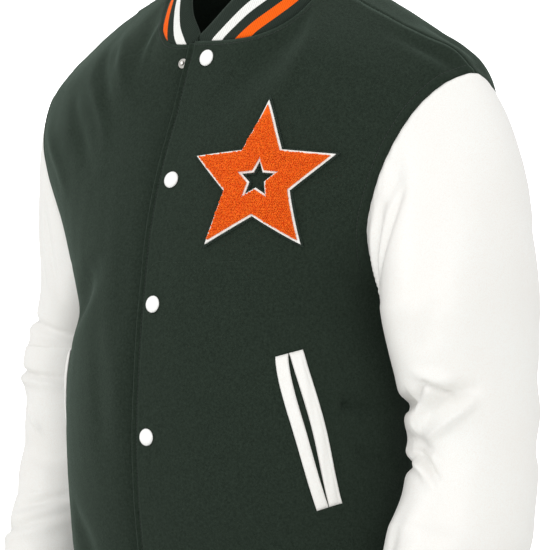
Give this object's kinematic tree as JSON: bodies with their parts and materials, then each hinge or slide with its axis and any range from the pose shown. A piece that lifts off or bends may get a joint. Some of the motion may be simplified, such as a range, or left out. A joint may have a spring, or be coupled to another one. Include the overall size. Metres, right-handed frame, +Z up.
{
  "type": "varsity jacket",
  "caption": "Snap-front varsity jacket as worn: wool body, leatherette sleeves, striped rib collar, rib cuffs and hem, welt pockets and a raised chenille star.",
  "frame": {"origin": "midway between the high shoulder points, where the wearer's neck and shoulders carry the jacket", "axes": "+Z up, -Y to the jacket's front, +X to the wearer's left"},
  "size_m": [0.6174, 0.2868, 0.7756],
  "materials": {
    "wool_melton": "brushed wool",
    "leatherette": "grained, half gloss",
    "rib_knit": "1x1 rib with stripes",
    "snap_enamel": "gloss enamel",
    "snap_nickel": "polished nickel",
    "white_felt": "wool felt",
    "dark_felt": "wool felt",
    "chenille": "looped pile"
  },
  "bodies": {
    "root": {"back": "wool_melton", "collar": "rib_knit", "cuff_left": "rib_knit", "cuff_right": "rib_knit", "front_left": "wool_melton", "front_right": "wool_melton", "hem_rib": "rib_knit", "patch_base": "dark_felt", "patch_border": "white_felt", "patch_pile": "chenille", "sleeve_left": "leatherette", "sleeve_right": "leatherette", "snap_1": "snap_enamel", "snap_2": "snap_enamel", "snap_3": "snap_enamel", "snap_4": "snap_enamel", "snap_5": "snap_enamel", "snap_6": "snap_enamel", "snap_stud": "snap_nickel", "welt_left_front": "leatherette", "welt_left_rear": "leatherette", "welt_right_front": "leatherette", "welt_right_rear": "leatherette"}
  },
  "joints": []
}
